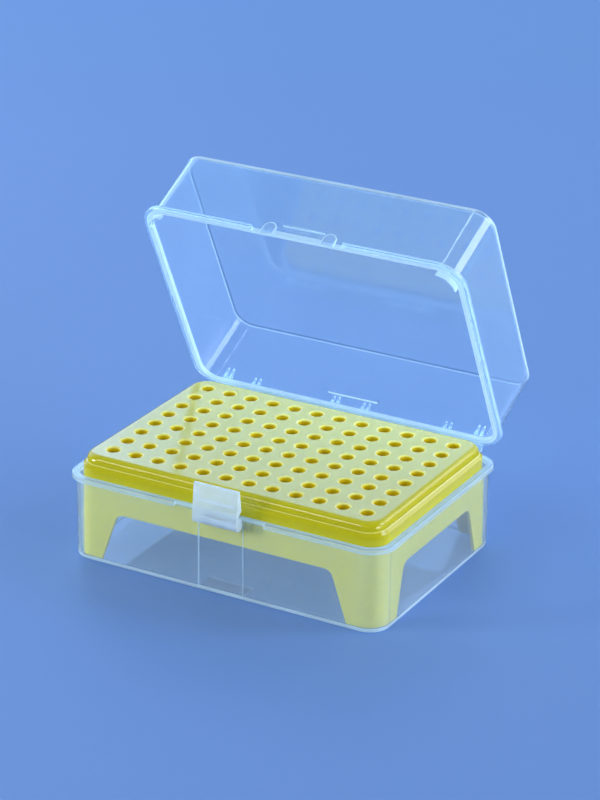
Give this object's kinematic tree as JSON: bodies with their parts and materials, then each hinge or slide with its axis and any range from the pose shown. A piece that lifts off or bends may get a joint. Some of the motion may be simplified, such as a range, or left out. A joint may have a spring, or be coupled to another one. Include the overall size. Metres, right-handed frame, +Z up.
{
  "type": "pipette tip box",
  "caption": "Clear hinged box holding an empty rack with a grid of holes for pipette tips, lid standing open, with a front clasp.",
  "frame": {"origin": "centre of the underside of the base box", "axes": "+Z up, -Y towards the clasp at the front, +Y towards the lid hinge, +X along the long side"},
  "size_m": [0.125, 0.1183, 0.125],
  "materials": {
    "clear_plastic": "clear, polished",
    "yellow_plastic": "moulded, semi-gloss",
    "frosted_plastic": "milky, semi-gloss"
  },
  "bodies": {
    "base": {"base_box": "clear_plastic", "tip_rack": "yellow_plastic"},
    "lid": {"lid": "clear_plastic"},
    "clasp": {"clasp": "frosted_plastic"}
  },
  "joints": [
    {"name": "lid_hinge", "type": "hinge", "parent": "base", "child": "lid", "pos_m": [0, 0.0472, 0.0314], "axis": [-1, 0, 0], "range_deg": [-63.6, 36.4]},
    {"name": "clasp_hinge", "type": "hinge", "parent": "base", "child": "clasp", "pos_m": [0, -0.0451, 0.0284], "axis": [1, 0, 0], "range_deg": [-4, 95]}
  ]
}
